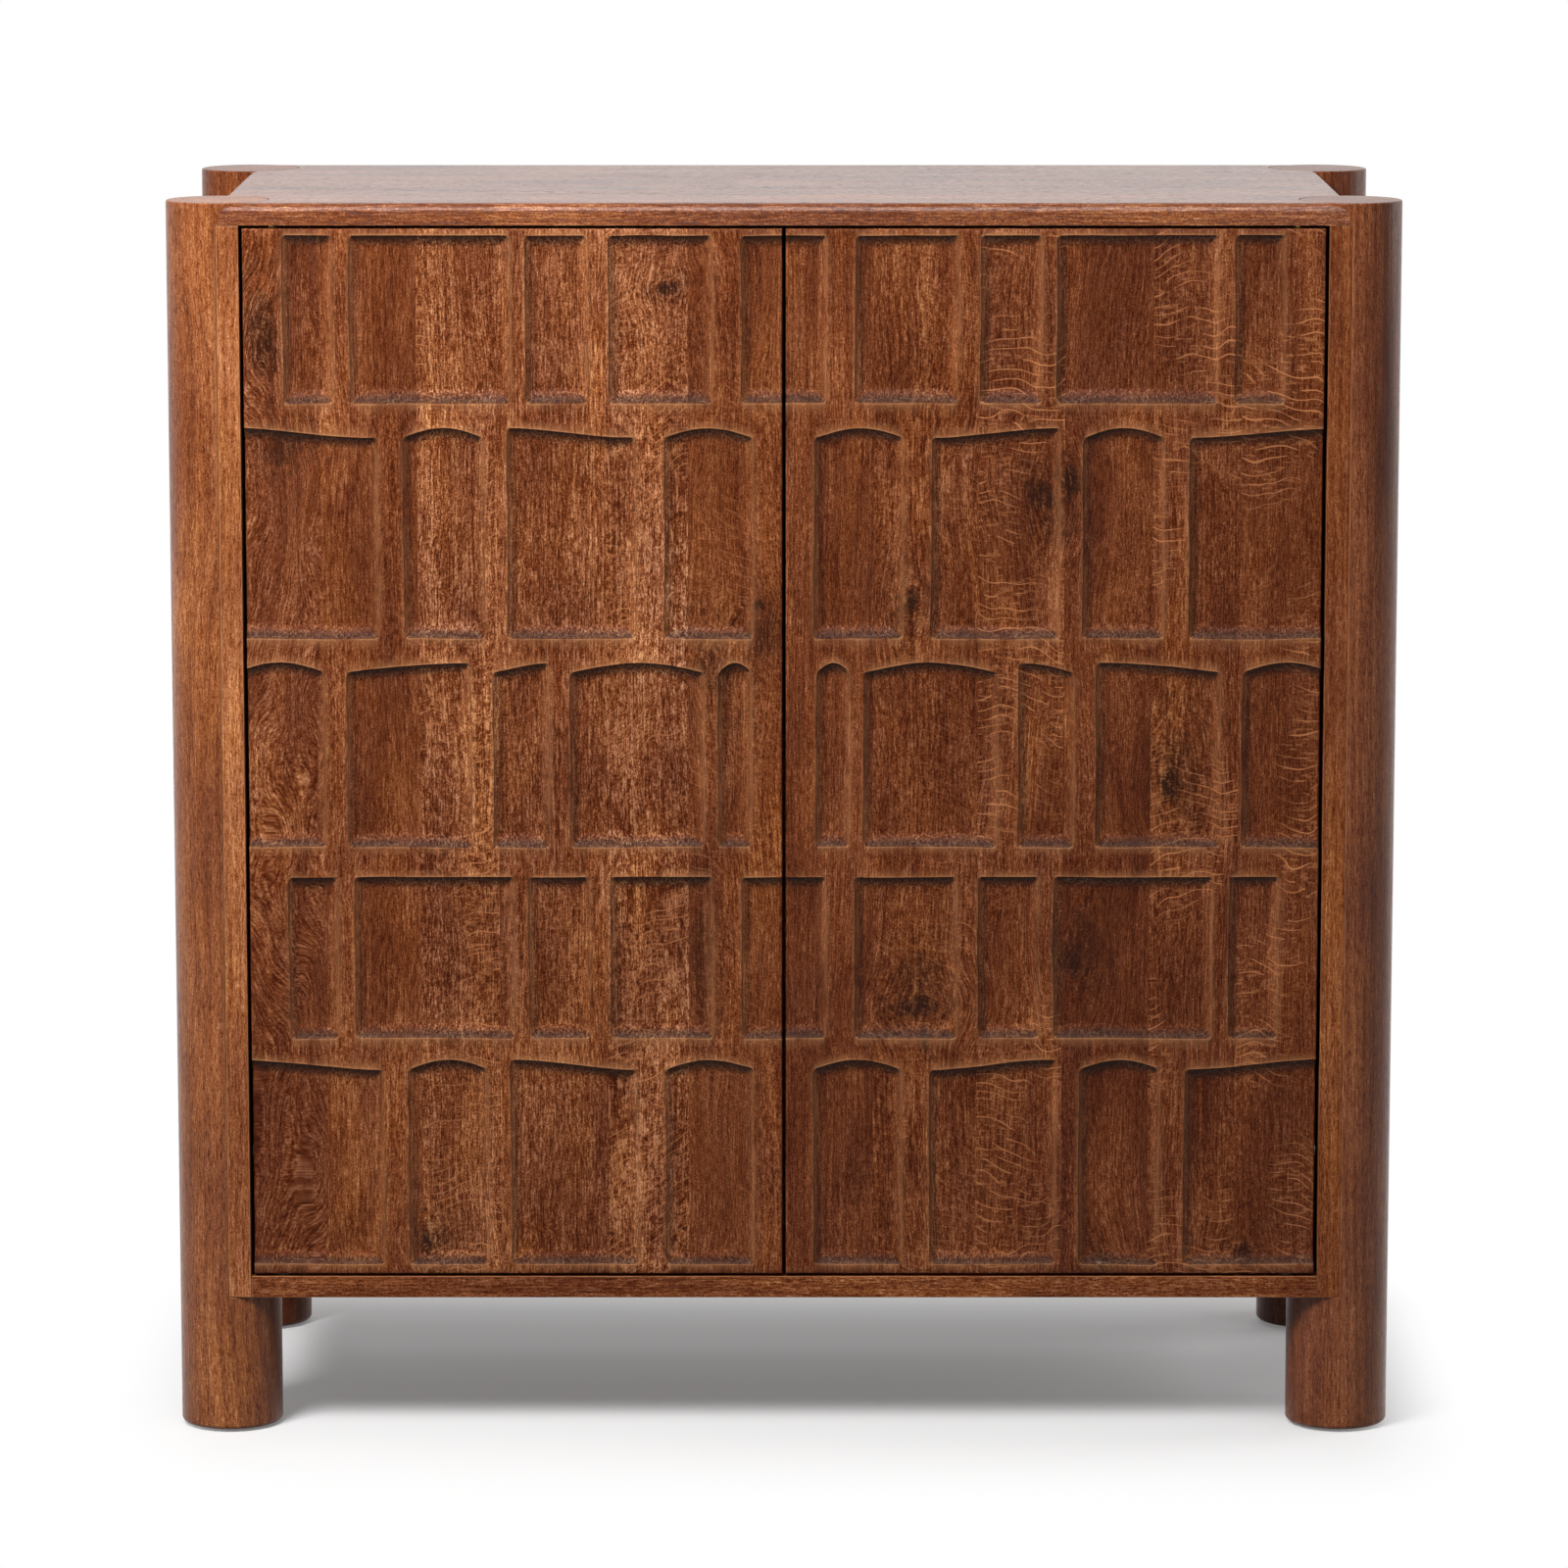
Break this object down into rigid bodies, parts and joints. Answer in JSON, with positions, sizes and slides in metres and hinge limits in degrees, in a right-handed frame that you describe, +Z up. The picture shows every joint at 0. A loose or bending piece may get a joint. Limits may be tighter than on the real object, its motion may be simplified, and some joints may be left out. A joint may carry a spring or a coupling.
{
  "type": "bar cabinet",
  "caption": "Stained-oak bar cabinet on round corner posts, with inset doors carved in rows of sunken rectangles and a bottle rack, shelves and glass rails inside.",
  "frame": {"origin": "on the floor under the middle of the cabinet", "axes": "+Z up, -Y towards the front where the doors are, +X to the right as seen from the front"},
  "size_m": [1.04, 0.457, 1.055],
  "materials": {
    "stained_oak": "brown stain under satin lacquer, straight grain with ray fleck",
    "carved_oak": "brown stain under satin lacquer, edge-glued boards, carved, darker in the hollows",
    "inner_oak": "brown stain, matt",
    "brass": "brushed",
    "steel": "zinc plated",
    "dark_plastic": "black nylon"
  },
  "bodies": {
    "carcass": {"post_front_left": "stained_oak", "post_front_right": "stained_oak", "post_back_left": "stained_oak", "post_back_right": "stained_oak", "top_panel": "stained_oak", "bottom_panel": "stained_oak", "side_panel_left": "stained_oak", "side_panel_right": "stained_oak", "back_panel": "inner_oak", "mid_shelf": "inner_oak", "centre_divider": "inner_oak", "loose_shelf": "inner_oak", "stem_rail_1": "inner_oak", "stem_rail_2": "inner_oak", "stem_rail_3": "inner_oak", "stem_rail_4": "inner_oak", "stem_rail_5": "inner_oak", "bottle_rail_front_1": "inner_oak", "bottle_rail_front_2": "inner_oak", "bottle_rail_front_3": "inner_oak", "bottle_rail_back_1": "inner_oak", "bottle_rail_back_2": "inner_oak", "bottle_rail_back_3": "inner_oak", "pivot_plate_left_top": "brass", "pivot_plate_left_bottom": "brass", "pivot_plate_right_top": "brass", "pivot_plate_right_bottom": "brass", "shelf_peg_divider_front": "brass", "shelf_peg_divider_back": "brass", "shelf_peg_side_front": "brass", "shelf_peg_side_back": "brass", "post_bolt_front_left_low": "steel", "post_bolt_front_left_high": "steel", "post_bolt_front_right_low": "steel", "post_bolt_front_right_high": "steel", "post_bolt_back_left_low": "steel", "post_bolt_back_left_high": "steel", "post_bolt_back_right_low": "steel", "post_bolt_back_right_high": "steel", "glide_front_left": "dark_plastic", "glide_front_right": "dark_plastic", "glide_back_left": "dark_plastic", "glide_back_right": "dark_plastic", "thrust_washer_left": "dark_plastic", "thrust_washer_right": "dark_plastic", "latch_housing_left": "dark_plastic", "latch_housing_right": "dark_plastic"},
    "left_door": {"door_left": "carved_oak", "pivot_bush_left_top": "brass", "pivot_bush_left_bottom": "brass", "strike_left": "steel"},
    "left_plunger": {"latch_plunger_left": "steel"},
    "right_door": {"door_right": "carved_oak", "pivot_bush_right_top": "brass", "pivot_bush_right_bottom": "brass", "strike_right": "steel"},
    "right_plunger": {"latch_plunger_right": "steel"}
  },
  "joints": [
    {"name": "left_door_hinge", "type": "hinge", "parent": "carcass", "child": "left_door", "pos_m": [-0.429, -0.2175, 0.1395], "axis": [0, 0, -1], "range_deg": [0, 110]},
    {"name": "left_latch_push", "type": "slide", "parent": "carcass", "child": "left_plunger", "axis": [0, 1, 0], "range_m": [0, 0.004], "stiffness_N_per_m": 600},
    {"name": "right_door_hinge", "type": "hinge", "parent": "carcass", "child": "right_door", "pos_m": [0.429, -0.2175, 0.1395], "axis": [0, 0, 1], "range_deg": [0, 110]},
    {"name": "right_latch_push", "type": "slide", "parent": "carcass", "child": "right_plunger", "axis": [0, 1, 0], "range_m": [0, 0.004], "stiffness_N_per_m": 600}
  ]
}
